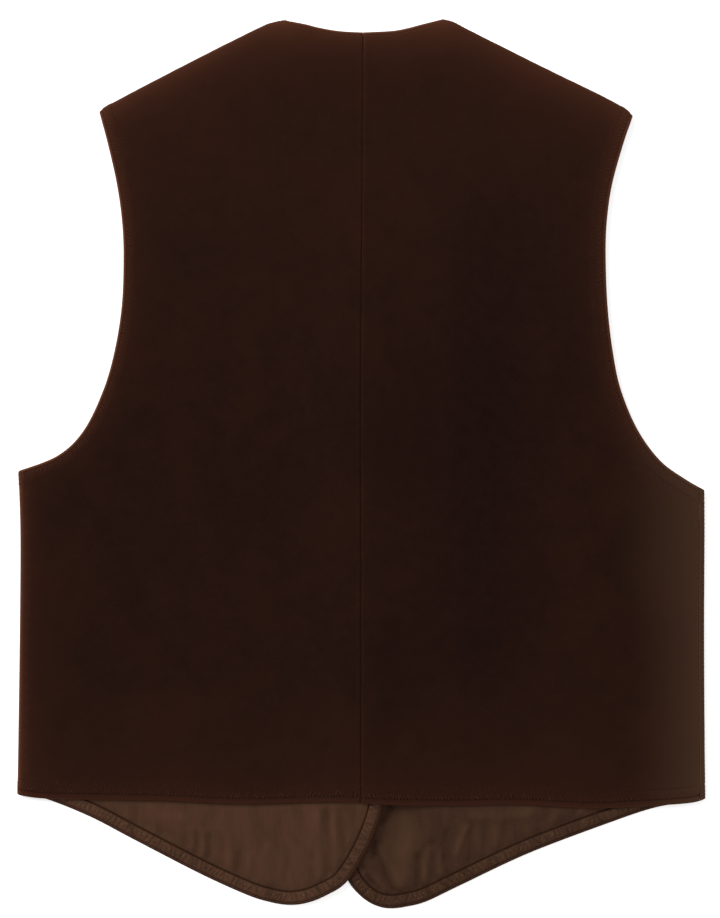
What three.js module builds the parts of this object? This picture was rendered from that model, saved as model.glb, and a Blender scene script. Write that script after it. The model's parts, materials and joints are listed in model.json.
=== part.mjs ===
// A suede vest, laid flat with its back up and its two fronts on the surface below it.
// Units are millimetres, +Z up. +Y runs from hem to neck, and +X is the wearer's right.
// The back is two halves joined at a centre seam. Each front is lined, ends in a rounded
// point below the back's hem, and overlaps the other at the centre over a row of buttons.
import * as THREE from "three";

// Cloth walls, the gap between neighbouring pieces, and the height that one lined layer takes up
const SUEDE_WALL = 1.5;
const LINING_WALL = 1.0;
const GAP = 0.3;
const LINING_GAP = 0.42;
const LINED_LAYER = SUEDE_WALL + LINING_GAP + LINING_WALL + GAP;

// Side folds and shoulder folds: half an ellipse, its reach inwards and its full height
const SIDE_FOLD = { reach: 3.2, height: 5.6, slope: 18 };
const SHOULDER_FOLD = { reach: 8, height: 6.8, slope: 30 };
const SIDE_SEAM_INSET = 4.5;
const SHOULDER_SEAM_ANGLE = 110;
const SHOULDER_SEAM_OPENING = 5;
const SHOULDER_STEPS = 8;

// The front closure: edge of each front, the foot of the V neck, and the row of buttons
const FRONT_EDGE = { left: 18, right: -18 };
const NECK_BREAK_Y = 75;
const NECK_SPREAD = 0.3;
const CLIMB = { clear: 2, width: 40 };
const BUTTON = { radius: 8.5, thickness: 1.8, rim: 0.5, count: 5, topY: 52, pitch: 66 };
const BUTTON_RIDGE = { top: 9, foot: 30, lowY: -296, fullLowY: -221, fullHighY: 62, highY: 140 };

// The raised band between the two stitch rows round the fronts, on the lining side
const LINING_INSET = 1.2;
const BAND = { outerRow: 2.2, crest: 5.8, innerRow: 9.5, inside: 12, rise: 0.5, fullY: -256, endY: -248 };
const BAND_CLEARANCE_Y = { full: -246, end: -200 };

// Slow swells of the back over the layers under it
const SWELL = { least: 0.15, height: 0.35, lengthX: 62, lengthY: 88 };

const COLOURS = { suede: "#24140f", lining: "#493226", button: "#1c120c" };

// Outline of the back and the fronts, as laid flat, for each side of the centre
const LEFT = {
  sign: -1,
  hem: [
    { x: 0, y: -246.2 },
    { x: -26, y: -246.5 },
    { x: -84, y: -248.2 },
    { x: -140, y: -245.7 },
    { x: -190, y: -244.5 },
    { x: -232, y: -243.2 },
    { x: -250.6, y: -240.5 },
  ],
  side: [
    { x: -250.6, y: -240.5 },
    { x: -249.9, y: -200 },
    { x: -248.8, y: -120 },
    { x: -248.4, y: -50 },
    { x: -249.9, y: -4.7 },
  ],
  armhole: [
    { x: -249.9, y: -4.7 },
    { x: -221, y: 6.6 },
    { x: -202, y: 25 },
    { x: -187.5, y: 55 },
    { x: -179.3, y: 84 },
    { x: -174.3, y: 116 },
    { x: -173, y: 150 },
    { x: -174, y: 176 },
    { x: -177.8, y: 204 },
    { x: -184.7, y: 234.7 },
    { x: -190.6, y: 256.6 },
  ],
  shoulder: [
    { x: -54, y: 323.4 },
    { x: -64, y: 321.6 },
    { x: -77, y: 316.9 },
    { x: -128.5, y: 290.5 },
    { x: -180.3, y: 264.1 },
    { x: -190.6, y: 256.6 },
  ],
  neck: [
    { x: 1.5, y: 314.2 },
    { x: -15, y: 315.3 },
    { x: -30, y: 317.9 },
    { x: -42, y: 321 },
    { x: -54, y: 323.4 },
  ],
  frontHem: [
    { x: 18, y: -222 },
    { x: 17, y: -240 },
    { x: 13.9, y: -256.6 },
    { x: 4.6, y: -280 },
    { x: -10.2, y: -303.7 },
    { x: -25.6, y: -314 },
    { x: -40, y: -319.8 },
    { x: -53.3, y: -321.4 },
    { x: -67.2, y: -319.2 },
    { x: -84, y: -313.8 },
    { x: -117.5, y: -298.6 },
    { x: -165, y: -274.1 },
    { x: -198.6, y: -256.6 },
    { x: -232, y: -243.4 },
    { x: -250.6, y: -240.5 },
  ],
  frontColumns: [
    18, 15, 12, 6, 0, -6, -12, -18, -24, -30, -36, -42, -48, -60, -80, -108, -136, -164, -192, -220,
  ],
  frontNeck: [
    { x: 18, y: 75 },
    { x: 3, y: 130 },
    { x: -23, y: 214 },
    { x: -46, y: 290 },
    { x: -54, y: 323.4 },
  ],
};

const RIGHT = {
  sign: 1,
  hem: [
    { x: 0, y: -247.2 },
    { x: 47.5, y: -249.5 },
    { x: 81, y: -249.9 },
    { x: 114.6, y: -249.2 },
    { x: 167, y: -251 },
    { x: 197, y: -249.5 },
    { x: 238, y: -246.7 },
    { x: 251.2, y: -243.5 },
  ],
  side: [
    { x: 251.2, y: -243.5 },
    { x: 250.7, y: -200 },
    { x: 250.3, y: -120 },
    { x: 250.6, y: -50 },
    { x: 250.4, y: -18.5 },
  ],
  armhole: [
    { x: 250.4, y: -18.5 },
    { x: 236.5, y: -10.6 },
    { x: 218, y: 3 },
    { x: 201.5, y: 25.5 },
    { x: 189.2, y: 55 },
    { x: 183.2, y: 84 },
    { x: 179.6, y: 116 },
    { x: 178.3, y: 150 },
    { x: 179, y: 176 },
    { x: 182.9, y: 204 },
    { x: 191.4, y: 234.7 },
    { x: 198, y: 253.7 },
  ],
  shoulder: [
    { x: 58, y: 324 },
    { x: 66, y: 322.4 },
    { x: 76, y: 317.9 },
    { x: 130, y: 291 },
    { x: 185, y: 264 },
    { x: 198, y: 253.7 },
  ],
  neck: [
    { x: 1.5, y: 314.2 },
    { x: 22.6, y: 315.6 },
    { x: 34.3, y: 317.8 },
    { x: 46, y: 321 },
    { x: 58, y: 324 },
  ],
  frontHem: [
    { x: -18, y: -252 },
    { x: -17, y: -277 },
    { x: -14.6, y: -292 },
    { x: -9.5, y: -303.7 },
    { x: -3.3, y: -312.1 },
    { x: 5.1, y: -319.1 },
    { x: 14, y: -323 },
    { x: 22.3, y: -324 },
    { x: 32.1, y: -322.9 },
    { x: 47.5, y: -319 },
    { x: 72.3, y: -307.2 },
    { x: 122.6, y: -283.6 },
    { x: 182.5, y: -261 },
    { x: 212.4, y: -251 },
    { x: 235, y: -246.6 },
    { x: 251.2, y: -243.5 },
  ],
  frontColumns: [-18, -15.5, -12, -6, 0, 6, 12, 18, 24, 30, 42, 60, 84, 110, 138, 166, 194, 222],
  frontNeck: [
    { x: -18, y: 75 },
    { x: -3, y: 130 },
    { x: 24, y: 214 },
    { x: 49, y: 290 },
    { x: 58, y: 324 },
  ],
};

// The centre-back seam bends a little: its x at each height
const CENTRE_SEAM = [
  { x: 0, y: -247 },
  { x: 0, y: -60 },
  { x: -0.3, y: 40 },
  { x: 0.5, y: 150 },
  { x: 1.4, y: 250 },
  { x: 1.5, y: 314.2 },
];

// Columns of the back, as distances from the centre, and the share of each block's height at each row
const BACK_COLUMNS = [0, 6, 12, 18, 24, 30, 36, 42, 48, 70, 95, 122, 150, 178, 204, 228];
const NECK_COLUMNS = 8;
const BACK_LOWER_ROWS = [0, 0.05, 0.12, 0.26, 0.42, 0.58, 0.74, 0.88, 1];
const FRONT_LOWER_ROWS = [0, 0.05, 0.1, 0.17, 0.26, 0.4, 0.54, 0.68, 0.84, 1];
const UPPER_ROWS = [0, 0.04, 0.085, 0.135, 0.19, 0.25, 0.32, 0.4, 0.49, 0.58, 0.67, 0.76, 0.85, 0.93, 1];
const LINING_LOWER_ROWS = [0, 0.05, 0.1, 0.16, 0.24, 0.37, 0.52, 0.68, 0.84, 1];
const LINING_UPPER_ROWS = [0, 0.045, 0.095, 0.15, 0.21, 0.28, 0.36, 0.46, 0.58, 0.72, 0.87, 1];
const BACK_MIDDLE_Y = 40;
const FRONT_ARMHOLE_INSET = 3;
const CELL_CORNERS = [[0, 0], [1, 0], [1, 1], [0, 1]];

// Steps of the folds, in degrees from the top of the fold round to the surface below
const SIDE_FOLD_STEPS = [25, 50, 75, 105, 130, 155, 180];
const SHOULDER_BACK_STEPS = [28, 55, 82, SHOULDER_SEAM_ANGLE];
const SHOULDER_FRONT_STEPS = [155, 132, SHOULDER_SEAM_ANGLE + SHOULDER_SEAM_OPENING];

const ease = (from, to, value) => THREE.MathUtils.smoothstep(value, from, to);
const radians = THREE.MathUtils.degToRad;

function curveThrough(rows) {
  const curve = new THREE.SplineCurve(rows.map((row) => new THREE.Vector2(row.x, row.y)));
  curve.arcLengthDivisions = 600;
  return curve;
}

// The point of a curve that runs steadily along one axis where that coordinate has the given value
function pointWhere(curve, axis, value) {
  const rising = curve.getPoint(1)[axis] > curve.getPoint(0)[axis];
  let low = 0;
  let high = 1;
  for (let step = 0; step < 40; step++) {
    const middle = (low + high) / 2;
    const before = curve.getPoint(middle)[axis] < value;
    if (before === rising) low = middle;
    else high = middle;
  }
  return curve.getPoint((low + high) / 2);
}

// The stretch of a curve between two distances from its start, as a function of a share from 0 to 1
function stretch(curve, from, to) {
  const length = curve.getLength();
  return (share) => curve.getPointAt(THREE.MathUtils.clamp((from + (to - from) * share) / length, 0, 1));
}

// Heights. How far the layers rise over the buttons, and over the front that lies under the other.
function buttonRidge(x, y) {
  const strip = ease(BUTTON_RIDGE.lowY, BUTTON_RIDGE.fullLowY, y);
  const above = 1 - ease(BUTTON_RIDGE.fullHighY, BUTTON_RIDGE.highY, y);
  const across = 1 - ease(BUTTON_RIDGE.top, BUTTON_RIDGE.foot, Math.abs(x));
  return (BUTTON.thickness + GAP) * strip * above * across;
}

const neckSpread = (y) => NECK_SPREAD * Math.max(0, y - NECK_BREAK_Y);
const rightEdgeX = (y) => FRONT_EDGE.right + neckSpread(y);
const leftEdgeX = (y) => FRONT_EDGE.left - neckSpread(y);

function overlapClimb(x, y) {
  const height = LINED_LAYER + BAND.rise * (1 - ease(BAND_CLEARANCE_Y.full, BAND_CLEARANCE_Y.end, y));
  const top = rightEdgeX(y) - CLIMB.clear;
  return height * ease(top - CLIMB.width, top, x);
}

// Lowest height of each layer at a point of the plan
const rightFrontFloor = (x, y) => buttonRidge(x, y);
const leftFrontFloor = (x, y) => buttonRidge(x, y) + overlapClimb(x, y);

// Bulge of the back towards the folds at the sides and the shoulders
function foldBulge(part, x, y) {
  const seamX = part.sign * x + SIDE_SEAM_INSET + GAP;
  const sideX = part.sign * part.side[1].x;
  const atSide = 1 - ease(0, SIDE_FOLD.slope, sideX - seamX);
  const [, , inner, , outer] = part.shoulder;
  const along = new THREE.Vector2(outer.x - inner.x, outer.y - inner.y).normalize();
  const below = part.sign * ((x - inner.x) * along.y - (y - inner.y) * along.x);
  const atShoulder = 1 - ease(SHOULDER_FOLD.reach, SHOULDER_FOLD.slope, Math.abs(below));
  const side = (SIDE_FOLD.height - SUEDE_WALL - LINED_LAYER) * atSide;
  const shoulder = (SHOULDER_FOLD.height - SUEDE_WALL - LINED_LAYER) * atShoulder;
  return Math.max(side, shoulder);
}

function swell(x, y) {
  const wave = Math.sin(x / SWELL.lengthX + 0.6) * Math.cos(y / SWELL.lengthY - 0.4);
  return SWELL.least + SWELL.height * (0.5 + 0.5 * wave);
}

function backFloor(part, x, y) {
  const fall = 1 - ease(leftEdgeX(y) + CLIMB.clear, leftEdgeX(y) + CLIMB.clear + CLIMB.width, x);
  const bulge = foldBulge(part, x, y);
  return LINED_LAYER + buttonRidge(x, y) + overlapClimb(x, y) * fall + Math.max(bulge, swell(x, y));
}

// A patch between four edges given point by point: bottom and top run outwards, inner and outer upwards
function patch(bottom, top, inner, outer, across, up) {
  const lastColumn = bottom.length - 1;
  const lastRow = inner.length - 1;
  return (column, row) => {
    const s = across[column];
    const t = up[row];
    const point = new THREE.Vector2();
    point.addScaledVector(inner[row], 1 - s).addScaledVector(outer[row], s);
    point.addScaledVector(bottom[column], 1 - t).addScaledVector(top[column], t);
    point.addScaledVector(bottom[0], -(1 - s) * (1 - t)).addScaledVector(bottom[lastColumn], -s * (1 - t));
    point.addScaledVector(top[0], -(1 - s) * t).addScaledVector(top[lastColumn], -s * t);
    if (row === 0) return bottom[column].clone();
    if (row === lastRow) return top[column].clone();
    return point;
  };
}

// The cells of a grid of numbered corners: one wherever all four corners exist
function gridQuads(numbers) {
  const quads = [];
  for (const key of numbers.keys()) {
    const [column, row] = key.split(",").map(Number);
    const corners = CELL_CORNERS.map(([right, up]) => numbers.get(`${column + right},${row + up}`));
    if (corners.every((corner) => corner !== undefined)) quads.push(corners);
  }
  return quads;
}

// A closed wall over a grid whose places are kept by "column,row"
function gridWall(places) {
  const numbers = new Map([...places.keys()].map((key, index) => [key, index]));
  return quadWall(gridQuads(numbers), [...places.values()]);
}

// A closed wall from quads over numbered places, with a rim along every edge that only one quad has
function quadWall(quads, places) {
  const positions = places.flatMap((place) => [...place.outer.toArray(), ...place.inner.toArray()]);
  const triangles = [];
  const edges = new Map();
  for (const quad of quads) {
    const [a, b, c, d] = quad.map((number) => number * 2);
    triangles.push(a, b, c, a, c, d);
    triangles.push(a + 1, c + 1, b + 1, a + 1, d + 1, c + 1);
    for (const [from, to] of [[a, b], [b, c], [c, d], [d, a]]) edges.set(`${from},${to}`, [from, to]);
  }
  for (const [from, to] of edges.values()) {
    if (edges.has(`${to},${from}`)) continue;
    triangles.push(to, from, from + 1, to, from + 1, to + 1);
  }
  const geometry = new THREE.BufferGeometry();
  geometry.setAttribute("position", new THREE.Float32BufferAttribute(positions, 3));
  geometry.setIndex(triangles);
  if (signedVolume(geometry) < 0) geometry.setIndex([...triangles].reverse());
  geometry.computeVertexNormals();
  return geometry;
}

function signedVolume(geometry) {
  const position = geometry.getAttribute("position");
  const corner = (index) => new THREE.Vector3().fromBufferAttribute(position, geometry.index.getX(index));
  let volume = 0;
  for (let index = 0; index < geometry.index.count; index += 3) {
    volume += corner(index).dot(corner(index + 1).cross(corner(index + 2))) / 6;
  }
  return volume;
}

// The stretches that the folds leave between them, shared by the panels of one side
function layout(part) {
  const hem = curveThrough(part.hem);
  const side = curveThrough(part.side);
  const armhole = curveThrough(part.armhole);
  const shoulder = curveThrough(part.shoulder);
  const neck = curveThrough(part.neck);
  const neckTurn = SHOULDER_FOLD.reach / Math.sin(radians(36));
  const length = { hem: hem.getLength(), armhole: armhole.getLength(), neck: neck.getLength() };
  const foldVector = (inset) => {
    const low = hem.getPoint(1).sub(stretch(hem, 0, length.hem - inset)(1));
    const high = armhole.getPoint(0).sub(stretch(armhole, inset * 1.1, length.armhole)(0));
    return (share) => low.clone().lerp(high, share);
  };
  const tipVector = armhole.getPoint(1).sub(stretch(armhole, 0, length.armhole - SHOULDER_FOLD.reach)(1));
  const neckVector = neck.getPoint(1).sub(stretch(neck, 0, length.neck - neckTurn)(1));
  return { hem, side, armhole, shoulder, neck, length, neckTurn, foldVector, tipVector, neckVector };
}

// The shoulder's outline, in the straight steps that back and front share along their seam
function shoulderPoint(plan, share) {
  const step = Math.min(Math.floor(share * SHOULDER_STEPS), SHOULDER_STEPS - 1);
  const from = plan.shoulder.getPointAt(step / SHOULDER_STEPS);
  const to = plan.shoulder.getPointAt((step + 1) / SHOULDER_STEPS);
  return from.lerp(to, share * SHOULDER_STEPS - step);
}

// Share of a list's width at each of its values
const shares = (values, last) => [...values, last].map((value) => (value - values[0]) / (last - values[0]));

// One half of the back. The left half wraps round its side fold and the right half stops at the side seam.
function backPanel(part, wrapsSide) {
  const plan = layout(part);
  const inset = wrapsSide ? SIDE_FOLD.reach : SIDE_SEAM_INSET + GAP;
  const fold = plan.foldVector(inset);
  const centre = curveThrough(CENTRE_SEAM);
  const centreX = (y) => pointWhere(centre, "y", y).x + part.sign * (GAP / 2);

  const hemCorner = plan.hem.getPoint(1).sub(fold(0));
  const middleCorner = plan.armhole.getPoint(0).sub(fold(1));
  const columns = BACK_COLUMNS.map((distance) => part.sign * distance);
  const hem = columns.map((x) => pointWhere(plan.hem, "x", x));
  hem[0].x = centreX(hem[0].y);
  hem.push(hemCorner);
  const middleAcross = shares(columns, middleCorner.x);
  const middle = middleAcross.map((share) => new THREE.Vector2(0, BACK_MIDDLE_Y).lerp(middleCorner, share));
  middle[0].x = centreX(BACK_MIDDLE_Y);
  const last = columns.length;

  const topInner = new THREE.Vector2(centreX(part.neck[0].y), part.neck[0].y);
  const top = middle.map((unused, column) => {
    if (column <= NECK_COLUMNS) {
      return stretch(plan.neck, 0, plan.length.neck - plan.neckTurn)(column / NECK_COLUMNS);
    }
    const share = (column - NECK_COLUMNS) / (last - NECK_COLUMNS);
    return shoulderPoint(plan, share).sub(plan.neckVector.clone().lerp(plan.tipVector, share));
  });
  top[0].copy(topInner);

  const flat = new Map();
  const lowerLast = BACK_LOWER_ROWS.length - 1;
  BACK_LOWER_ROWS.forEach((share, row) => {
    for (let column = 0; column <= last; column++) {
      const point = hem[column].clone().lerp(middle[column], share);
      if (column === 0) point.x = centreX(point.y);
      if (column === last) point.copy(plan.side.getPointAt(share).sub(fold(share)));
      flat.set(`${column},${row}`, point);
    }
  });
  const armholeStart = middleCorner.distanceTo(plan.armhole.getPoint(0));
  const armhole = stretch(plan.armhole, armholeStart, plan.length.armhole - SHOULDER_FOLD.reach);
  const inner = UPPER_ROWS.map((share) => {
    const y = THREE.MathUtils.lerp(BACK_MIDDLE_Y, topInner.y, share);
    return new THREE.Vector2(centreX(y), y);
  });
  const outer = UPPER_ROWS.map((share) => armhole(share));
  const upper = patch(middle, top, inner, outer, middleAcross, UPPER_ROWS);
  UPPER_ROWS.forEach((unused, row) => {
    for (let column = 0; column <= last; column++) {
      flat.set(`${column},${lowerLast + row}`, upper(column, row));
    }
  });

  const places = new Map();
  for (const [key, point] of flat) {
    const floor = backFloor(part, point.x, point.y);
    places.set(key, {
      outer: new THREE.Vector3(point.x, point.y, floor + SUEDE_WALL),
      inner: new THREE.Vector3(point.x, point.y, floor),
    });
  }
  const panel = { plan, fold, flat, last, topRow: lowerLast + UPPER_ROWS.length - 1 };
  if (wrapsSide) {
    addSideFold(places, part, panel, BACK_LOWER_ROWS, SIDE_FOLD_STEPS, () => [0, SUEDE_WALL]);
  }
  addShoulderFold(places, part, panel, NECK_COLUMNS, SHOULDER_BACK_STEPS, plan.neckVector);
  return gridWall(places);
}

// A place on a fold. reach runs from the flat cloth out to the fold's outline, depth is its length in
// plan, and step is the angle round the fold from its top.
function foldPlace(start, reach, depth, height, step) {
  const across = Math.sin(radians(step));
  const up = Math.cos(radians(step));
  const outer = start.clone().addScaledVector(reach, across);
  const inner = start.clone().addScaledVector(reach, (across * (depth - SUEDE_WALL)) / depth);
  return {
    outer: new THREE.Vector3(outer.x, outer.y, (height / 2) * (1 + up)),
    inner: new THREE.Vector3(inner.x, inner.y, height / 2 + (height / 2 - SUEDE_WALL) * up),
  };
}

// Columns that carry a panel round its side fold and on to the side seam. seamFaces gives the heights
// of the outer and the inner face at the seam from the fold's height.
function addSideFold(places, part, panel, rowShares, steps, seamFaces) {
  rowShares.forEach((share, row) => {
    const start = panel.flat.get(`${panel.last},${row}`);
    const reach = panel.fold(share);
    const height = backFloor(part, start.x, start.y) + SUEDE_WALL;
    steps.forEach((step, index) => {
      const place = foldPlace(start, reach, SIDE_FOLD.reach, height, step);
      places.set(`${panel.last + 1 + index},${row}`, place);
    });
    const past = (SIDE_FOLD.reach - SIDE_SEAM_INSET) / SIDE_FOLD.reach;
    const seam = start.clone().addScaledVector(reach, past);
    const [outerZ, innerZ] = seamFaces(height);
    places.set(`${panel.last + 1 + steps.length},${row}`, {
      outer: new THREE.Vector3(seam.x, seam.y, outerZ),
      inner: new THREE.Vector3(seam.x, seam.y, innerZ),
    });
  });
}

// Rows that carry a panel round the shoulder fold, as far as the seam
function addShoulderFold(places, part, panel, firstColumn, steps, neckVector) {
  const { plan, last, topRow } = panel;
  for (let column = firstColumn; column <= last; column++) {
    const share = (column - firstColumn) / (last - firstColumn);
    const outline = shoulderPoint(plan, share);
    const backStart = outline.clone().sub(plan.neckVector.clone().lerp(plan.tipVector, share));
    const height = backFloor(part, backStart.x, backStart.y) + SUEDE_WALL;
    const reach = neckVector.clone().lerp(plan.tipVector, share);
    const start = outline.clone().sub(reach);
    steps.forEach((step, index) => {
      const place = foldPlace(start, reach, SHOULDER_FOLD.reach, height, step);
      places.set(`${column},${topRow + 1 + index}`, place);
    });
  }
}

// Plan of a front, from its edge out to the side and from its hem up to the shoulder
function frontPlan(part, wrapsSide, lowerRows, upperRows) {
  const plan = layout(part);
  const inset = wrapsSide ? SIDE_FOLD.reach : SIDE_SEAM_INSET + GAP;
  const fold = plan.foldVector(inset);
  const hemCurve = curveThrough(part.frontHem);
  const neckCurve = curveThrough(part.frontNeck);
  const hem = part.frontColumns.map((x) => pointWhere(hemCurve, "x", x));
  hem.push(plan.hem.getPoint(1).sub(fold(0)));
  const last = hem.length - 1;
  const middleCorner = plan.armhole.getPoint(0).sub(fold(1));
  const across = shares(part.frontColumns, middleCorner.x);
  const middleStart = new THREE.Vector2(part.frontColumns[0], NECK_BREAK_Y);
  const middle = across.map((share) => middleStart.clone().lerp(middleCorner, share));

  const neckLength = neckCurve.getLength();
  const neck = stretch(neckCurve, 0, neckLength - SHOULDER_FOLD.reach);
  const neckVector = neckCurve.getPoint(1).sub(neck(1));
  const shoulderEnd = (share) => neckVector.clone().lerp(plan.tipVector, share);
  const top = across.map((unused, column) => {
    const share = column / last;
    return shoulderPoint(plan, share).sub(shoulderEnd(share));
  });
  const armholeStart = middleCorner.distanceTo(plan.armhole.getPoint(0));
  const armhole = stretch(plan.armhole, armholeStart, plan.length.armhole - SHOULDER_FOLD.reach);
  const inner = upperRows.map((share) => neck(share));
  const outer = upperRows.map((share) => {
    const point = armhole(share);
    point.x -= part.sign * FRONT_ARMHOLE_INSET * Math.sin(Math.PI * share);
    return point;
  });
  const flat = new Map();
  const lowerLast = lowerRows.length - 1;
  lowerRows.forEach((share, row) => {
    for (let column = 0; column <= last; column++) {
      const point = hem[column].clone().lerp(middle[column], share);
      if (column === last) point.copy(plan.side.getPointAt(share).sub(fold(share)));
      flat.set(`${column},${row}`, point);
    }
  });
  const upper = patch(middle, top, inner, outer, across, upperRows);
  upperRows.forEach((unused, row) => {
    for (let column = 0; column <= last; column++) {
      flat.set(`${column},${lowerLast + row}`, upper(column, row));
    }
  });
  return { plan, fold, flat, last, lowerLast, topRow: lowerLast + upperRows.length - 1, neckVector };
}

// A suede front. The right one wraps round its side fold up to the side seam on the back.
function frontPanel(part, wrapsSide, floorAt) {
  const panel = frontPlan(part, wrapsSide, FRONT_LOWER_ROWS, UPPER_ROWS);
  const places = new Map();
  for (const [key, point] of panel.flat) {
    const floor = floorAt(point.x, point.y);
    places.set(key, {
      outer: new THREE.Vector3(point.x, point.y, floor),
      inner: new THREE.Vector3(point.x, point.y, floor + SUEDE_WALL),
    });
  }
  if (wrapsSide) {
    const steps = [...SIDE_FOLD_STEPS.slice(0, -1).reverse(), 0];
    addSideFold(places, part, panel, FRONT_LOWER_ROWS, steps, (height) => [height, height - SUEDE_WALL]);
  }
  addShoulderFold(places, part, panel, 0, SHOULDER_FRONT_STEPS, panel.neckVector);
  return gridWall(places);
}

// A front's lining: rings inwards from the edge, which shape the raised band, round a middle patch
function liningPanel(part, wrapsSide, floorAt) {
  const { flat, last, lowerLast, topRow } = frontPlan(part, wrapsSide, LINING_LOWER_ROWS, LINING_UPPER_ROWS);
  const at = (column, row) => flat.get(`${column},${row}`);
  const loop = [];
  for (let column = 0; column < last; column++) loop.push([column, 0]);
  for (let row = 0; row < topRow; row++) loop.push([last, row]);
  for (let column = last; column > 0; column--) loop.push([column, topRow]);
  for (let row = topRow; row > 0; row--) loop.push([0, row]);
  const edge = loop.map(([column, row]) => at(column, row));
  const moved = (distance) => insetLoop(edge, distance, part.sign);

  const ringDistances = [LINING_INSET, BAND.outerRow, BAND.crest, BAND.innerRow, BAND.inside];
  const ringRise = [0, 0, BAND.rise, 0, 0];
  const rings = ringDistances.map(moved);
  const innerRing = rings[rings.length - 1];
  const ringPoint = new Map(loop.map(([column, row], index) => [`${column},${row}`, innerRing[index]]));
  const placeOf = (point, rise) => {
    const floor = floorAt(point.x, point.y) + SUEDE_WALL + LINING_GAP;
    const shown = 1 - ease(BAND.fullY, BAND.endY, point.y);
    return {
      outer: new THREE.Vector3(point.x, point.y, floor + LINING_WALL + rise * shown),
      inner: new THREE.Vector3(point.x, point.y, floor),
    };
  };

  const rowsOf = (from, to) => Array.from({ length: to - from + 1 }, (unused, index) => from + index);
  const columns = rowsOf(0, last);
  const shareAlong = (points) => {
    const lengths = [0];
    for (let index = 1; index < points.length; index++) {
      lengths.push(lengths[index - 1] + points[index].distanceTo(points[index - 1]));
    }
    return lengths.map((length) => length / lengths[lengths.length - 1]);
  };
  const middle = columns.map((column) => {
    if (column === 0 || column === last) return ringPoint.get(`${column},${lowerLast}`);
    return at(column, lowerLast);
  });
  const bottom = columns.map((column) => ringPoint.get(`${column},0`));
  const top = columns.map((column) => ringPoint.get(`${column},${topRow}`));
  const sideRows = (column, from, to) => rowsOf(from, to).map((row) => ringPoint.get(`${column},${row}`));
  const lower = patch(bottom, middle, sideRows(0, 0, lowerLast), sideRows(last, 0, lowerLast),
    shareAlong(middle), LINING_LOWER_ROWS);
  const upper = patch(middle, top, sideRows(0, lowerLast, topRow), sideRows(last, lowerLast, topRow),
    shareAlong(middle), LINING_UPPER_ROWS);
  const points = new Map();
  const patchPlaces = [];
  for (const column of columns) {
    for (const row of rowsOf(0, topRow)) {
      const onRing = ringPoint.get(`${column},${row}`);
      const point = onRing ?? (row <= lowerLast ? lower(column, row) : upper(column, row - lowerLast));
      points.set(`${column},${row}`, patchPlaces.length);
      patchPlaces.push(placeOf(point, 0));
    }
  }
  return ringedGeometry(points, patchPlaces, loop, rings.slice(0, -1), ringRise, placeOf);
}

// Every point of a closed outline moved towards its inside by a distance
function insetLoop(edge, distance, sign) {
  return edge.map((point, index) => {
    const before = edge[(index + edge.length - 1) % edge.length];
    const after = edge[(index + 1) % edge.length];
    const into = point.clone().sub(before).normalize();
    const out = after.clone().sub(point).normalize();
    const normal = new THREE.Vector2(-(into.y + out.y), into.x + out.x).normalize().multiplyScalar(sign);
    const spread = Math.max(0.5, normal.x * -into.y * sign + normal.y * into.x * sign);
    return point.clone().addScaledVector(normal, distance / spread);
  });
}

// A closed wall made of a middle grid and the rings around it
function ringedGeometry(gridNumbers, gridPlaces, loop, outerRings, ringRise, placeOf) {
  const places = [...gridPlaces];
  const ringNumbers = outerRings.map((ring, index) => ring.map((point) => {
    places.push(placeOf(point, ringRise[index]));
    return places.length - 1;
  }));
  ringNumbers.push(loop.map(([column, row]) => gridNumbers.get(`${column},${row}`)));
  const quads = gridQuads(gridNumbers);
  for (let ring = 0; ring + 1 < ringNumbers.length; ring++) {
    for (let index = 0; index < loop.length; index++) {
      const next = (index + 1) % loop.length;
      quads.push([ringNumbers[ring][index], ringNumbers[ring][next],
        ringNumbers[ring + 1][next], ringNumbers[ring + 1][index]]);
    }
  }
  return quadWall(quads, places);
}

// A plain round button with softened rims, its face on the surface below
function buttonGeometry() {
  const { radius, thickness, rim } = BUTTON;
  const profile = [
    new THREE.Vector2(0, 0),
    new THREE.Vector2(radius - rim, 0),
    new THREE.Vector2(radius, rim),
    new THREE.Vector2(radius, thickness - rim),
    new THREE.Vector2(radius - rim, thickness),
    new THREE.Vector2(0, thickness),
  ];
  const geometry = new THREE.LatheGeometry(profile, 24);
  return geometry.rotateX(Math.PI / 2);
}

function material(colour, roughness) {
  return new THREE.MeshStandardMaterial({ color: colour, roughness, metalness: 0 });
}

function named(name, geometry, colour, roughness) {
  const mesh = new THREE.Mesh(geometry, material(colour, roughness));
  mesh.name = name;
  return mesh;
}

const vest = new THREE.Group();
vest.add(named("back_left", backPanel(LEFT, true), COLOURS.suede, 0.95));
vest.add(named("back_right", backPanel(RIGHT, false), COLOURS.suede, 0.95));
vest.add(named("front_left", frontPanel(LEFT, false, leftFrontFloor), COLOURS.suede, 0.95));
vest.add(named("front_right", frontPanel(RIGHT, true, rightFrontFloor), COLOURS.suede, 0.95));
vest.add(named("lining_left", liningPanel(LEFT, false, leftFrontFloor), COLOURS.lining, 0.45));
vest.add(named("lining_right", liningPanel(RIGHT, true, rightFrontFloor), COLOURS.lining, 0.45));
for (let index = 0; index < BUTTON.count; index++) {
  const button = named(`button_${index + 1}`, buttonGeometry(), COLOURS.button, 0.4);
  button.position.set(0, BUTTON.topY - index * BUTTON.pitch, 0);
  vest.add(button);
}

export default vest;
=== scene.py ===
import json
import math
import random
from functools import partial

import bpy
import numpy as np
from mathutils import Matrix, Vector
from mathutils.geometry import delaunay_2d_cdt

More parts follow.
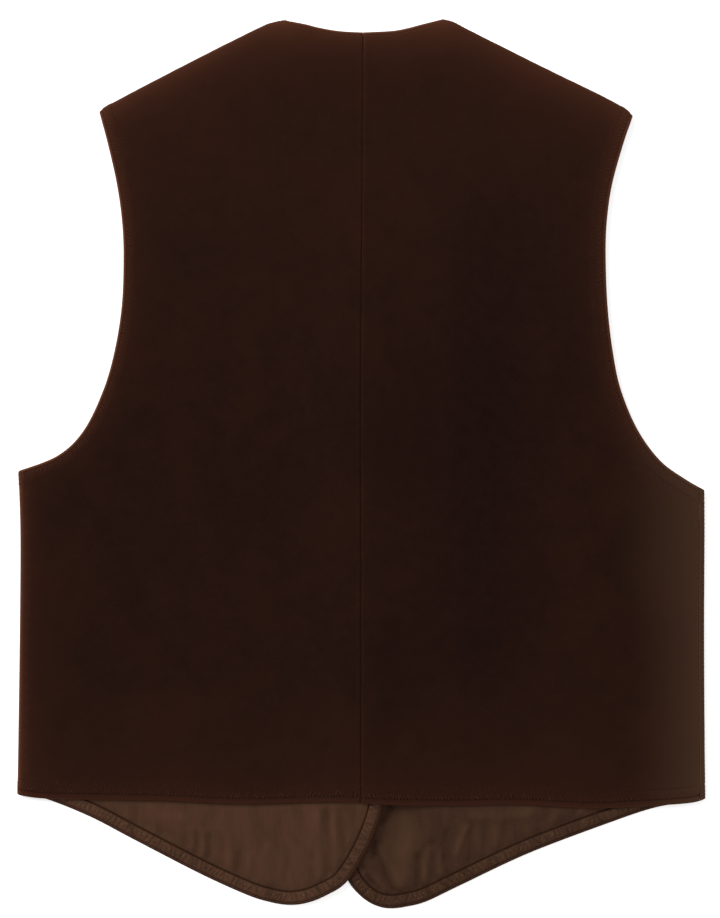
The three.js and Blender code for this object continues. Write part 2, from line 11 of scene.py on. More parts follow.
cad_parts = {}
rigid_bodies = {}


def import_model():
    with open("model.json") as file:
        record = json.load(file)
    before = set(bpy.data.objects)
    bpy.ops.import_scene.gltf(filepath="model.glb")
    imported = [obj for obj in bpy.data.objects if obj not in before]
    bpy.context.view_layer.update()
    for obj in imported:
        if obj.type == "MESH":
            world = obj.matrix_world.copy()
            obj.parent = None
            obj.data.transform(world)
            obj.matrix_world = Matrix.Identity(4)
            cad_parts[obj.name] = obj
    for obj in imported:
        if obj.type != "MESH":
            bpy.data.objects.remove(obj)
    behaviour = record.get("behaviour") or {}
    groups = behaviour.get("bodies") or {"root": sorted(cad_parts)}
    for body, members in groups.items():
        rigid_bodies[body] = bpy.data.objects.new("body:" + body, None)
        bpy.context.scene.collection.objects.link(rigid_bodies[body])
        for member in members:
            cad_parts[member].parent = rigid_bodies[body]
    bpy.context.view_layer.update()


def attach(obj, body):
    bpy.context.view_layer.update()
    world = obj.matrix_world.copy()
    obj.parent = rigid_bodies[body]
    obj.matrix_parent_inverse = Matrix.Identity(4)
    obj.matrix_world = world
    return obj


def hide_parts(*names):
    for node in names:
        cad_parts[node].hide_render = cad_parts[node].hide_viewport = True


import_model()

MM = 0.001

# Cloth walls, gaps, folds and the front closure, as in the solids
SUEDE_WALL = 1.5
LINING_WALL = 1.0
GAP = 0.3
SEAM_GAP = 0.08
LINING_GAP = 0.42
LINED_LAYER = SUEDE_WALL + LINING_GAP + LINING_WALL + GAP
SIDE_FOLD = {"reach": 3.2, "height": 5.6, "slope": 18}
SHOULDER_FOLD = {"reach": 8, "height": 6.8, "slope": 30}
SIDE_SEAM_INSET = 4.5
SHOULDER_SEAM_ANGLE = 110
SHOULDER_SEAM_OPENING = 5
SHOULDER_NECK_ANGLE = 36
FRONT_EDGE = 18
NECK_BREAK_Y = 75
NECK_SPREAD = 0.3
CLIMB = {"clear": 2, "width": 40}
RIDGE = {"height": 2.1, "top": 9, "foot": 30, "low": (-296, -221), "high": (62, 140)}
LINING_INSET = 1.2
OUTER_ROW = 2.2
INNER_ROW = 10.1
BACK_ROWS = {"hem": (4.2, 11.4), "armhole": (2.4, 9.5), "neck": (2.2,), "front": (OUTER_ROW, INNER_ROW)}
BAND_RISE = 0.85
SWELL = {"least": 0.15, "height": 0.35, "x": 62, "y": 88}
STITCH_PITCH = 2.3
STITCH = {"half_length": 0.4 * STITCH_PITCH, "radius": 0.26, "sides": 6, "lowest": 1.3, "points": 5}
ALLOWANCE = {"half": 4.5, "top": 0.08, "foot": 0.45, "step": 5, "from_ends": 1}
FOLD_SAMPLES = 401
BAND_TOP_Y = -232
LINING_FINE_Y = -238
LINING_TONES_Y = -236

# Outlines of the back and the fronts for each side of the centre: x, y. The hem, the neck and the left
# shoulder follow the photo, up to 1.5 mm off the solids' edges.
LEFT = {
    "sign": -1,
    "hem": [(0, -245.4), (-26, -245.5), (-84, -247.4), (-140, -245.1), (-190, -244.1), (-232, -243.2),
            (-250.6, -240.5)],
    "side": [(-250.6, -240.5), (-249.9, -200), (-248.8, -120), (-248.4, -50), (-249.9, -4.7)],
    "armhole": [(-249.9, -4.7), (-221, 6.6), (-202, 25), (-187.5, 55), (-179.3, 84), (-174.3, 116), (-173, 150),
                (-174, 176), (-177.8, 204), (-184.7, 234.7), (-190.6, 256.6)],
    "shoulder": [(-54, 323.4), (-64, 321.6), (-77, 316.9), (-128.5, 291.2), (-180.3, 264.1), (-190.6, 256.6)],
    "neck": [(1.5, 314.9), (-15, 315.8), (-30, 318.2), (-42, 321.1), (-54, 323.4)],
    "front_hem": [(18, -222), (17, -240), (13.9, -256.6), (4.6, -280), (-10.2, -303.7), (-25.6, -314),
                  (-40, -319.8), (-53.3, -321.4), (-67.2, -319.2), (-84, -313.8), (-117.5, -298.6), (-165, -274.1),
                  (-198.6, -256.6), (-232, -243.4), (-250.6, -240.5)],
    "front_neck": [(18, 75), (3, 130), (-23, 214), (-46, 290), (-54, 323.4)],
}
RIGHT = {
    "sign": 1,
    "hem": [(0, -246.2), (47.5, -248.4), (81, -248.4), (114.6, -247.9), (167, -250.4), (197, -249.2),
            (238, -246.7), (251.2, -243.5)],
    "side": [(251.2, -243.5), (250.7, -200), (250.3, -120), (250.6, -50), (250.4, -18.5)],
    "armhole": [(250.4, -18.5), (236.5, -10.6), (218, 3), (201.5, 25.5), (189.2, 55), (183.2, 84), (179.6, 116),
                (178.3, 150), (179, 176), (182.9, 204), (191.4, 234.7), (198, 253.7)],
    "shoulder": [(58, 324), (66, 322.4), (76, 317.9), (130, 291), (185, 264), (198, 253.7)],
    "neck": [(1.5, 314.9), (22.6, 316), (34.3, 318), (46, 321), (58, 324)],
    "front_hem": [(-18, -252), (-17, -277), (-14.6, -292), (-9.5, -303.7), (-3.3, -312.1), (5.1, -319.1),
                  (14, -323), (22.3, -324), (32.1, -322.9), (47.5, -319), (72.3, -307.2), (122.6, -283.6),
                  (182.5, -261), (212.4, -251), (235, -246.6), (251.2, -243.5)],
    "front_neck": [(-18, 75), (-3, 130), (24, 214), (49, 290), (58, 324)],
}
CENTRE_SEAM = [(0, -260), (0, -60), (-0.3, 40), (0.5, 150), (1.4, 250), (1.5, 330)]

# Soft forms: a line from x0, y0 to x1, y1, how far it stands up (or sinks), its half width
BACK_FORMS = [
    (104, 265, 98, 60, -0.55, 15), (74, 250, 66, 20, 0.35, 13),
    (138, 235, 128, 60, 0.3, 14), (-150, 40, -98, -70, 0.4, 12),
    (-176, 12, -128, -82, -0.35, 9), (168, 30, 112, -82, 0.4, 12),
    (196, 6, 150, -78, -0.35, 9), (-62, 292, -96, 190, 0.35, 16),
    (60, 290, 46, 200, -0.3, 12), (-34, 240, -26, 60, -0.25, 12),
    (-112, -232, -118, -120, 0.3, 15), (-176, -236, -182, -150, -0.3, 12),
    (-48, -236, -40, -150, -0.3, 11), (62, -238, 70, -140, 0.35, 13),
    (128, -240, 122, -160, -0.3, 12), (192, -236, 204, -90, 0.35, 15),
    (-214, -220, -220, -90, 0.3, 13), (-20, -120, 60, -60, 0.2, 26),
]
LINING_LEFT_FORMS = [
    (-23.8, -254, -24.5, -302, -0.6, 2.9), (-30, -256, -30.5, -304, 0.45, 2.9),
    (-19.6, -256, -18.5, -290, 0.45, 2.1), (-15.6, -252, -12, -287, -0.5, 1.6),
    (-9.4, -256, -9, -280, 0.4, 2), (-50, -270, -36.5, -286, -0.35, 2.6),
    (-40, -288, -33, -304, -0.25, 2.2), (-67.6, -279, -66, -306, 0.4, 3.6),
    (-57, -288, -56, -309, 0.25, 2.8), (-82.4, -285, -81, -305, 0.45, 2.3),
    (-89.5, -284, -89, -302, -0.5, 1.9), (-96, -277, -95, -298, 0.4, 2),
    (-101.3, -272, -101, -292, -0.4, 1.9), (-111.3, -271, -110.8, -288, -0.5, 1.7),
    (-115.6, -267, -115.2, -287, 0.45, 1.7), (-119.6, -269, -119.4, -286, -0.55, 2),
    (-125, -265, -124.6, -281, 0.4, 2.3), (-154, -261, -131, -275, -0.4, 3.4),
    (-142, -256, -126, -260, 0.35, 3), (-172, -252, -164, -262, 0.25, 3),
    (-78, -254, -70, -268, -0.2, 4.5), (-100, -254, -104, -266, 0.2, 4.5),
]
LINING_RIGHT_FORMS = [
    (20.5, -249, 17.5, -260, -0.9, 2.7), (10.4, -275, 9, -287, -1.2, 1.7), (1, -293, 6.5, -303, -1, 1.7),
    (6, -303, 15, -311.5, -0.7, 1.8), (9.1, -281, 24.4, -311, -0.95, 1.5), (13.8, -280, 29, -307, 0.45, 2.3),
    (4, -296, 18, -311, 0.5, 2.2), (30, -262, 34, -298, 0.85, 8), (51.4, -275, 42, -287, -0.55, 2.1),
    (41.9, -286, 42.6, -309, -0.65, 2), (47.6, -280, 47, -306, 0.55, 2.2), (52.8, -288, 53.6, -304, -0.5, 1.5),
    (57.4, -283, 58.7, -301, 0.4, 1.9), (63.2, -267, 61.6, -288, -0.6, 2.3), (77.8, -265, 68.2, -284, 0.8, 2.2),
    (81.4, -260, 78.4, -289, -0.5, 2.2), (85.8, -266, 85, -283, 0.3, 1.8), (92.2, -259, 90, -280, -0.45, 2.2),
    (99.5, -266, 97.4, -278, 0.5, 1.9), (105, -262, 104, -275, -0.3, 2), (83.5, -255.6, 122, -255.6, 0.45, 3.6),
    (134.6, -250, 133.8, -260, -0.5, 2.2), (142.4, -252, 140.4, -261, 0.4, 2.2), (155, -251, 154, -259, -0.4, 1.8),
    (160, -251, 159, -258, 0.3, 1.8),
]

# Rows of mesh points by distance from an edge, and their step along it
ROWS = {
    "finished": ([0.1, 0.32, 0.62, 1.1, 1.6, 1.95, 2.2, 2.45, 2.8, 3.8, 5.8, 7.6, 8.7, 9.15, 9.5, 9.85, 10.4, 11.6,
                  14], 2.3),
    "hem": ([0.1, 0.32, 0.62, 1.1, 2.1, 3.2, 3.75, 4.0, 4.2, 4.4, 4.7, 5.6, 7.4, 9.4, 10.6, 11.1, 11.4, 11.7, 12.2,
             13.4, 16], 2.3),
    "plain": ([0.1, 0.35, 0.8, 1.4, 3], 5),
    "seam": ([0.1, 0.28, 0.55, 0.85, 1.3, 1.9, 2.5, 3.4, 5], 3),
    "band": ([0.1, 0.3, 0.6, 1.0, 1.4, 1.9, 2.5, 3.2, 3.9, 4.6, 5.3, 6.0, 6.8, 7.6, 8.2, 8.55, 8.9, 9.25, 9.8,
              10.6, 12.5], 0.95),
}


def smooth(low, high, value):
    t = np.clip((value - low) / (high - low), 0, 1)
    return t * t * (3 - 2 * t)


# Lines: dense rows of points
def steps_of(line):
    return np.concatenate([[0], np.cumsum(np.hypot(*np.diff(line, axis=0).T))])


def at(line, distances):
    lengths = steps_of(line)
    return np.column_stack([np.interp(distances, lengths, line[:, axis]) for axis in range(line.shape[1])])


def length_of(line):
    return steps_of(line)[-1]


def even(line, step):
    length = length_of(line)
    return at(line, np.linspace(0, length, max(2, int(round(length / step)) + 1)))


def cut(line, start, end):
    lengths = steps_of(line)
    ends = at(line, [start, end])
    return np.vstack([ends[:1], line[(lengths > start) & (lengths < end)], ends[1:]])


def curve(points):
    p = np.array(points, float)
    t = np.linspace(0, 1, 40, endpoint=False)[:, None]
    parts = []
    for i in range(len(p) - 1):
        before, a, b, after = p[max(i - 1, 0)], p[i], p[i + 1], p[min(i + 2, len(p) - 1)]
        v0, v1 = (b - before) / 2, (after - a) / 2
        parts.append((2 * a - 2 * b + v0 + v1) * t ** 3 + (-3 * a + 3 * b - 2 * v0 - v1) * t ** 2 + v0 * t + a)
    return even(np.vstack(parts + [p[-1:]]), 0.5)


def nearest(points, line):
    """Distance of each point from a line, and how far along the line its nearest place lies."""
    line = even(line, 1.0)
    coarse = line[::8]
    guess = np.empty(len(points), int)
    for k in range(0, len(points), 20000):
        gap = points[k:k + 20000, None] - coarse
        guess[k:k + 20000] = (gap ** 2).sum(2).argmin(1) * 8
    window = np.clip(guess[:, None] + np.arange(-10, 11), 0, len(line) - 2)
    a, d = line[window], line[window + 1] - line[window]
    gap = points[:, None] - a
    square = (d ** 2).sum(2)
    t = np.clip((gap * d).sum(2) / square, 0, 1)
    far = ((gap - t[..., None] * d) ** 2).sum(2)
    best = far.argmin(1)
    rows = np.arange(len(points))
    chosen = window[rows, best]
    along = steps_of(line)[chosen] + t[rows, best] * np.sqrt(square[rows, best])
    return np.sqrt(far[rows, best]), along


def inside(points, loop):
    result = np.zeros(len(points), bool)
    x, y = points.T
    for (x0, y0), (x1, y1) in zip(loop, np.roll(loop, -1, axis=0)):
        if y0 != y1:
            result ^= ((y0 > y) != (y1 > y)) & (x < (x1 - x0) * (y - y0) / (y1 - y0) + x0)
    return result


def turning_of(loop):
    """1 for a loop that runs anticlockwise, -1 for one that runs clockwise."""
    x, y = loop.T
    return 1 if (x * np.roll(y, -1) - np.roll(x, -1) * y).sum() > 0 else -1


def offset(line, distance):
    """The line moved to its left."""
    run = np.gradient(line, axis=0)
    run /= np.hypot(*run.T)[:, None]
    return line + distance * np.column_stack([-run[:, 1], run[:, 0]])


# Heights of the layers over the surface
def button_ridge(x, y):
    along = smooth(*RIDGE["low"], y) * (1 - smooth(*RIDGE["high"], y))
    return RIDGE["height"] * along * (1 - smooth(RIDGE["top"], RIDGE["foot"], np.abs(x)))


def neck_spread(y):
    return NECK_SPREAD * np.maximum(0, y - NECK_BREAK_Y)


def overlap_climb(x, y):
    height = LINED_LAYER + BAND_RISE * (1 - smooth(-240, -200, y))
    top = -FRONT_EDGE + neck_spread(y) - CLIMB["clear"]
    return height * smooth(top - CLIMB["width"], top, x)


def left_front_floor(x, y):
    return button_ridge(x, y) + overlap_climb(x, y)


def fold_closeness(part, x, y):
    """1 at the side fold and at the shoulder fold of a half of the back, 0 away from them."""
    side = part["sign"] * part["side"][1][0] - (part["sign"] * x + SIDE_SEAM_INSET + GAP)
    inner, outer = np.array(part["shoulder"][2]), np.array(part["shoulder"][4])
    run = (outer - inner) / np.hypot(*(outer - inner))
    below = np.abs((x - inner[0]) * run[1] - (y - inner[1]) * run[0])
    return 1 - smooth(0, SIDE_FOLD["slope"], side), 1 - smooth(SHOULDER_FOLD["reach"], SHOULDER_FOLD["slope"], below)


def soft_forms(x, y, forms):
    height = np.zeros_like(x)
    for x0, y0, x1, y1, rise, width in forms:
        run = np.array([x1 - x0, y1 - y0], float)
        t = ((x - x0) * run[0] + (y - y0) * run[1]) / (run @ run)
        bend = 0.35 * width * np.sin(3.1 * t + 0.05 * x0)
        near = np.clip(t, 0, 1)
        across = np.hypot(x - x0 - near * run[0], y - y0 - near * run[1])
        side = np.sign((x - x0) * run[1] - (y - y0) * run[0])
        across = np.abs(across * side + bend)
        height += rise * (0.8 + 0.2 * np.sin(7 * near + x0)) * np.exp(-(across / width) ** 2)
    return height


HEM_LINE = np.vstack([curve(LEFT["hem"])[::-1], curve(RIGHT["hem"])[1:]])


def hem_y(x):
    return np.interp(x, HEM_LINE[:, 0], HEM_LINE[:, 1])


def back_floor(part, x, y):
    side, shoulder = fold_closeness(part, x, y)
    bulge = np.maximum((SIDE_FOLD["height"] - SUEDE_WALL - LINED_LAYER) * side,
                       (SHOULDER_FOLD["height"] - SUEDE_WALL - LINED_LAYER) * shoulder)
    wave = np.sin(x / SWELL["x"] + 0.6) * np.cos(y / SWELL["y"] - 0.4)
    swell = SWELL["least"] + SWELL["height"] * (0.5 + 0.5 * wave)
    edge = FRONT_EDGE - neck_spread(y) + CLIMB["clear"]
    fall = 1 - smooth(edge, edge + CLIMB["width"], x)
    free = (1 - side) * (1 - shoulder)
    hem = 0.35 * (1 - smooth(0, 22, y - hem_y(x)))
    lift = free * (0.7 + hem + soft_forms(x, y, BACK_FORMS))
    return LINED_LAYER + button_ridge(x, y) + overlap_climb(x, y) * fall + np.maximum(bulge, swell) + lift


class Fold:
    """Cloth that turns over: it leaves the flat at a line and runs round half an ellipse, then back inwards."""

    def __init__(self, outline, reach, height, first, last, past):
        self.shares = np.concatenate([[-0.02], np.linspace(0, 1, FOLD_SAMPLES), [1.02]])

        def widened(values):
            """The values with one more past each end, on the slope of the nearest twentieth."""
            low = values[:1] - 0.02 * (values[20:21] - values[:1]) / 0.05
            high = values[-1:] + 0.02 * (values[-1:] - values[-21:-20]) / 0.05
            return np.concatenate([low, values, high])

        self.start, self.reach = widened(outline - reach), widened(reach)
        self.size = np.hypot(*self.reach.T)
        self.height = widened(height)
        self.first, self.last, self.past = math.radians(first), math.radians(last), past
        half = SUEDE_WALL / 2
        around = math.pi * np.sqrt(((self.size - half) ** 2 + (self.height / 2 - half) ** 2) / 2)
        self.turn = around * abs(last - first) / 180

    def values(self, shares):
        def mix(row):
            return np.interp(shares, self.shares, row)

        start, reach = (np.column_stack([mix(column) for column in table.T]) for table in (self.start, self.reach))
        return start, reach, mix(self.size), mix(self.height), mix(self.turn)

    def pattern(self, shares, rounds):
        """Places in the cut, where rounds runs from 0 at the flat to 1 at the seam."""
        start, reach, size, _, turn = self.values(np.asarray(shares, float))
        return start + reach / size[:, None] * ((turn + self.past) * rounds)[:, None]

    def locate(self, points):
        share, distance = np.full(len(points), np.nan), np.full(len(points), -100.0)
        run = self.reach / self.size[:, None]
        ends = np.vstack([self.start, self.start + run * (self.turn + self.past)[:, None]])
        low, high = ends.min(0) - 1, ends.max(0) + 1
        near = np.flatnonzero(((points > low) & (points < high)).all(1))
        for k in range(0, len(near), 4000):
            rows = near[k:k + 4000]
            gap = points[rows, None] - self.start
            cross = gap[..., 0] * run[:, 1] - gap[..., 1] * run[:, 0]
            change = (cross[:, :-1] > 0) != (cross[:, 1:] > 0)
            hit = change.any(1)
            rows, cross, spot = rows[hit], cross[hit], change[hit].argmax(1)
            pick = np.arange(len(rows))
            t = cross[pick, spot] / (cross[pick, spot] - cross[pick, spot + 1])
            found = self.shares[spot] + t * (self.shares[spot + 1] - self.shares[spot])
            start, reach, size, _, _ = self.values(found)
            share[rows] = found
            distance[rows] = ((points[rows] - start) * reach).sum(1) / size
        return share, distance

    def place(self, shares, distances):
        start, reach, size, height, turn = self.values(shares)
        angle = self.first + (self.last - self.first) * np.clip(distances / turn, 0, 1)
        half = SUEDE_WALL / 2
        out = np.sin(angle) * (size - half) - np.maximum(0, distances - turn)
        flat = start + reach / size[:, None] * out[:, None]
        return np.column_stack([flat, height / 2 + (height / 2 - half) * np.cos(angle)])


def put(name, data):
    """A new object in the scene."""
    made = bpy.data.objects.new(name, data)
    bpy.context.scene.collection.objects.link(made)
    return made


def new_piece(name, vertices, faces):
    """A smooth mesh object in the scene, from points in millimetres."""
    mesh = bpy.data.meshes.new(name)
    mesh.from_pydata((vertices * MM).tolist(), [], faces)
    mesh.polygons.foreach_set("use_smooth", [True] * len(mesh.polygons))
    return put(name, mesh)


class Panel:
    """A cut piece: edges in order, each a name, a kind and its line, folds, and the height of its lower face."""

    def __init__(self, edges, folds, floor, wall, side, grain, relief):
        self.edges, self.folds, self.floor, self.wall, self.side = edges, folds, floor, wall, side
        self.grain, self.relief = grain, relief
        self.turning = turning_of(np.vstack([line[:-1] for _, _, line in edges]))
        self.lines = {name: line for name, _, line in edges}

    def middle(self, points):
        height = self.floor(*points.T) + self.wall / 2
        result = np.column_stack([points, height])
        for fold in self.folds:
            share, distance = fold.locate(points)
            use = distance > 0
            result[use] = fold.place(share[use], distance[use])
        return result

    def normal(self, points):
        h = 0.06
        dx = self.middle(points + [h, 0]) - self.middle(points - [h, 0])
        dy = self.middle(points + [0, h]) - self.middle(points - [0, h])
        n = np.cross(dx, dy) * self.side
        return n / np.linalg.norm(n, axis=1)[:, None]

    def thickness(self, points):
        share = np.ones(len(points))
        for name, kind, line in self.edges:
            radius = 0.35 if name == "side" else 0.8 if kind == "seam" else 1.1
            near = np.clip(nearest(points, line)[0] / (radius * self.wall / SUEDE_WALL), 0, 1)
            share = np.minimum(share, np.sqrt(1 - (1 - near) ** 2))
        return share

    def surface(self, points):
        """The outer face and its normal."""
        normal = self.normal(points)
        return self.middle(points) + normal * (self.wall / 2 + self.relief(self, points))[:, None], normal

    def cut_points(self):
        outline, rows = [], []
        for _, kind, line in self.edges:
            distances, step = ROWS[kind]
            base = even(line, step)
            outline.append(base[:-1])
            rows += [offset(base, distance * self.turning) for distance in distances]
        outline = np.vstack(outline)
        for fold in self.folds:
            shares = np.linspace(0, 1, max(3, int(length_of(fold.start) / 3.2)))
            for rounds in np.linspace(0, 1, 15)[:-1]:
                rows.append(fold.pattern(shares, np.full(len(shares), rounds)))
        rows = np.vstack(rows)
        low, high = outline.min(0), outline.max(0)
        for spacing, foot, top in self.grain:
            gx = np.arange(low[0], high[0], spacing)
            gy = np.arange(low[1], high[1], spacing * 0.866)
            grid = np.stack(np.meshgrid(gx, gy), axis=-1)
            grid[1::2, :, 0] += spacing / 2
            grid = grid.reshape(-1, 2)
            grid = grid[(grid[:, 1] >= foot) & (grid[:, 1] < top)]
            keep = np.ones(len(grid), bool)
            for _, kind, line in self.edges:
                keep &= nearest(grid, even(line, 3))[0] > ROWS[kind][0][-1] + spacing * 0.45
            for fold in self.folds:
                keep &= fold.locate(grid)[1] < -1.5
            rows = np.vstack([rows, grid[keep]])
        rows = rows[np.unique(np.round(rows / 0.16).astype(int), axis=0, return_index=True)[1]]
        rows = rows[inside(rows, outline)]
        closed = np.vstack([outline, outline[:1]])
        rows = rows[nearest(rows, closed)[0] > 0.07]
        return outline, rows

    def build(self, name, allowance=False):
        outline, rows = self.cut_points()
        points = [Vector(p) for p in np.vstack([outline, rows])]
        loop = list(range(len(outline)))
        verts, _, faces, _, _, _ = delaunay_2d_cdt(points, [], [loop], 1, 1e-5)
        flat = np.array([tuple(v) for v in verts])
        faces = np.array([face for face in faces if len(face) == 3])
        a, b, c = (flat[faces[:, corner]].T for corner in range(3))
        area = (b[0] - a[0]) * (c[1] - a[1]) - (b[1] - a[1]) * (c[0] - a[0])
        keep = np.abs(area) > 1e-9
        faces, area = faces[keep], area[keep]
        faces[area < 0] = faces[area < 0][:, ::-1]

        middle, normal, share = self.middle(flat), self.normal(flat), self.thickness(flat)
        rim = self.rim(faces, len(flat))
        share[rim] = 0
        relief = self.relief(self, flat)
        relief[rim] = 0
        outer = middle + normal * (share * self.wall / 2 + relief)[:, None]
        inner = middle - normal * (share * self.wall / 2)[:, None]
        number = np.arange(len(flat))
        twin = number.copy()
        twin[~rim] = len(flat) + np.arange((~rim).sum())
        out_faces = faces if self.side > 0 else faces[:, ::-1]
        in_faces = twin[faces[:, ::-1]] if self.side > 0 else twin[faces]
        vertices, faces = np.vstack([outer, inner[~rim]]), np.vstack([out_faces, in_faces]).tolist()
        self.flat = np.vstack([flat, flat[~rim]])
        if allowance:
            strip, strip_flat, strip_faces = self.allowance()
            faces += (strip_faces + len(vertices)).tolist()
            vertices = np.vstack([vertices, strip])
            self.flat = np.vstack([self.flat, strip_flat])
        self.area = np.abs(area).sum() / 2 * MM * MM
        self.flat_size = tuple(np.ptp(flat, axis=0) * MM)
        return new_piece(name, vertices, faces)

    def allowance(self):
        """The seam allowance, pressed open behind the centre seam."""
        centre, ends = self.lines["centre"], ALLOWANCE["from_ends"]
        line = even(cut(centre, ends, length_of(centre) - ends), ALLOWANCE["step"])
        half, top, foot = ALLOWANCE["half"], ALLOWANCE["top"], ALLOWANCE["foot"]
        count, floor = len(line), self.floor(*line.T)
        flats = [line + [across, 0] for across in (-half, half, half, -half)]
        corners = [np.column_stack([flat, floor - down]) for flat, down in zip(flats, (top, top, foot, foot))]
        rings = np.stack(corners, axis=1).reshape(-1, 3)
        faces = []
        for row in range(count - 1):
            for k in range(4):
                a, b = row * 4 + k, row * 4 + (k + 1) % 4
                faces += [[a, b, b + 4], [a, b + 4, a + 4]]
        last = 4 * (count - 1)
        faces += [[0, 2, 1], [0, 3, 2], [last, last + 1, last + 2], [last, last + 2, last + 3]]
        return rings, np.stack(flats, axis=1).reshape(-1, 2), np.array(faces)

    @staticmethod
    def rim(faces, count):
        edges = np.vstack([faces[:, [0, 1]], faces[:, [1, 2]], faces[:, [2, 0]]])
        edges.sort(axis=1)
        found, times = np.unique(edges, axis=0, return_counts=True)
        rim = np.zeros(count, bool)
        rim[found[times == 1].ravel()] = True
        return rim


def add_attributes(piece, **named):
    for name, values in named.items():
        piece.data.attributes.new(name, "FLOAT", "POINT").data.foreach_set("value", np.asarray(values, float))


# Plans
def plan_of(part, wraps):
    inset = SIDE_FOLD["reach"] if wraps else SIDE_SEAM_INSET + SEAM_GAP
    lines = {name: curve(part[name]) for name in ("hem", "side", "armhole", "shoulder", "neck")}
    hem, armhole, neck = lines["hem"], lines["armhole"], lines["neck"]
    hem_flat = cut(hem, 0, length_of(hem) - inset)
    armhole_flat = cut(armhole, inset * 1.1, length_of(armhole) - SHOULDER_FOLD["reach"])
    neck_turn = SHOULDER_FOLD["reach"] / math.sin(math.radians(SHOULDER_NECK_ANGLE))
    neck_flat = cut(neck, 0, length_of(neck) - neck_turn)
    share = np.linspace(0, 1, FOLD_SAMPLES)[:, None]
    side, shoulder = (at(lines[name], share[:, 0] * length_of(lines[name])) for name in ("side", "shoulder"))
    side_reach = (hem[-1] - hem_flat[-1]) * (1 - share) + (armhole[0] - armhole_flat[0]) * share
    tip = armhole[-1] - armhole_flat[-1]
    back_reach = (neck[-1] - neck_flat[-1]) * (1 - share) + tip * share
    back_start = shoulder - back_reach
    side_start = side - side_reach
    return {
        "share": share, "hem": hem_flat, "armhole": armhole_flat, "neck": neck_flat,
        "side": side, "side_reach": side_reach, "side_start": side_start, "shoulder": shoulder, "tip": tip,
        "back_reach": back_reach,
        "side_height": back_floor(part, *side_start.T) + SUEDE_WALL,
        "shoulder_height": back_floor(part, *back_start.T) + SUEDE_WALL,
    }


def fold_edge(fold, share, forward):
    rounds = np.linspace(0, 1, 40) if forward else np.linspace(1, 0, 40)
    return fold.pattern(np.full(40, float(share)), rounds)


def fold_over(plan, shoulder_fold, low_edge, armhole, wraps, angles):
    """The edges of a panel once its folds are rolled out: the low edge, side, armhole and shoulder, and its folds."""
    folds, side, shares = [shoulder_fold], plan["side_start"], plan["share"][:, 0]
    if wraps:
        past = SIDE_SEAM_INSET - SIDE_FOLD["reach"]
        side_fold = Fold(plan["side"], plan["side_reach"], plan["side_height"], *angles, past)
        folds.append(side_fold)
        side = side_fold.pattern(shares, np.ones(FOLD_SAMPLES))
        low_edge = np.vstack([low_edge, fold_edge(side_fold, 0, True)[1:]])
        armhole = np.vstack([fold_edge(side_fold, 1, False)[:-1], armhole])
    armhole = np.vstack([armhole, fold_edge(shoulder_fold, 1, True)[1:]])
    shoulder = shoulder_fold.pattern(shares[::-1], np.ones(FOLD_SAMPLES))
    return low_edge, side, armhole, shoulder, folds


def back_plan(part, wraps):
    plan = plan_of(part, wraps)
    shoulder_fold = Fold(plan["shoulder"], plan["back_reach"], plan["shoulder_height"], 0, SHOULDER_SEAM_ANGLE, 0)
    seam_line = curve(CENTRE_SEAM)
    top, low = plan["neck"][0], plan["hem"][0]
    heights = np.linspace(top[1], low[1], 300)
    centre = np.column_stack([np.interp(heights, seam_line[:, 1], seam_line[:, 0]) + part["sign"] * 0.04, heights])
    hem = plan["hem"][part["sign"] * plan["hem"][:, 0] > part["sign"] * centre[-1, 0] + 0.3]
    neck = plan["neck"][part["sign"] * plan["neck"][:, 0] > part["sign"] * centre[0, 0] + 0.3]
    hem = np.vstack([centre[-1:], hem])
    hem, side, armhole, shoulder, folds = fold_over(plan, shoulder_fold, hem, plan["armhole"], wraps, (0, 180))
    neck = np.vstack([fold_edge(shoulder_fold, 0, False)[:-1], neck[::-1], centre[:1]])
    edges = [("hem", "hem", hem), ("side", "seam", side), ("armhole", "finished", armhole),
             ("shoulder", "seam", shoulder), ("neck", "finished", neck), ("centre", "seam", centre)]
    return edges, folds


def front_plan(part, wraps):
    plan = plan_of(part, wraps)
    sign = part["sign"]
    hem = curve(part["front_hem"])
    corner = plan["side_start"][0]
    hem = np.vstack([hem[sign * hem[:, 0] < sign * corner[0] - 0.5], corner])
    neck = curve(part["front_neck"])
    neck_flat = cut(neck, 0, length_of(neck) - SHOULDER_FOLD["reach"])
    share = plan["share"]
    reach = (neck[-1] - neck_flat[-1]) * (1 - share) + plan["tip"] * share
    opening = SHOULDER_SEAM_ANGLE + SHOULDER_SEAM_OPENING
    shoulder_fold = Fold(plan["shoulder"], reach, plan["shoulder_height"], 180, opening, 0)
    armhole = plan["armhole"].copy()
    lengths = steps_of(armhole)
    armhole[:, 0] -= sign * 3 * np.sin(math.pi * lengths / lengths[-1])
    flat = [("front", np.vstack([neck_flat[::-1], hem])), ("side", plan["side_start"]), ("armhole", armhole),
            ("shoulder", (plan["shoulder"] - reach)[::-1])]
    front, side, armhole, shoulder, folds = fold_over(plan, shoulder_fold, flat[0][1], armhole, wraps, (180, 0))
    front = np.vstack([fold_edge(shoulder_fold, 0, False)[:-1], front])
    edges = [("front", "finished", front), ("side", "seam", side), ("armhole", "finished", armhole),
             ("shoulder", "seam", shoulder)]
    return edges, folds, flat


